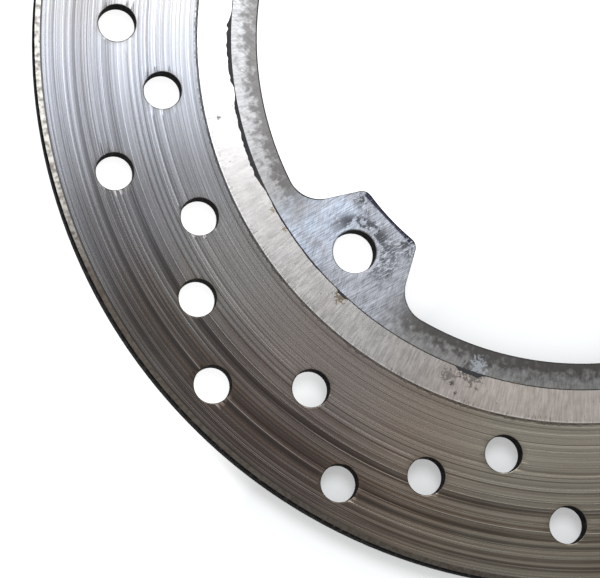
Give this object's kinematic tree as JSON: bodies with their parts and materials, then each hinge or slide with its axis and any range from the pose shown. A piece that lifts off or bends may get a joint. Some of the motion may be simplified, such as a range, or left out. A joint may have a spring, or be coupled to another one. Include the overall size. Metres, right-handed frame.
{
  "type": "brake disc rotor",
  "caption": "Flat brake disc rotor: a drilled ring-shaped blade with a worn pad band, a raised hub seat inside it, and mounting lugs that reach in to the wheel hub.",
  "frame": {"origin": "on the disc's axis, halfway through its thickness", "axes": "+Z along the wheel's axle, +X through the middle of one mounting lug"},
  "size_m": [0.22, 0.22, 0.0052],
  "materials": {
    "disc_steel": "stainless steel, scored in circles by the pads, ground crosswise on the unworn bands, stained and worn"
  },
  "bodies": {
    "root": {"rotor": "disc_steel"}
  },
  "joints": []
}
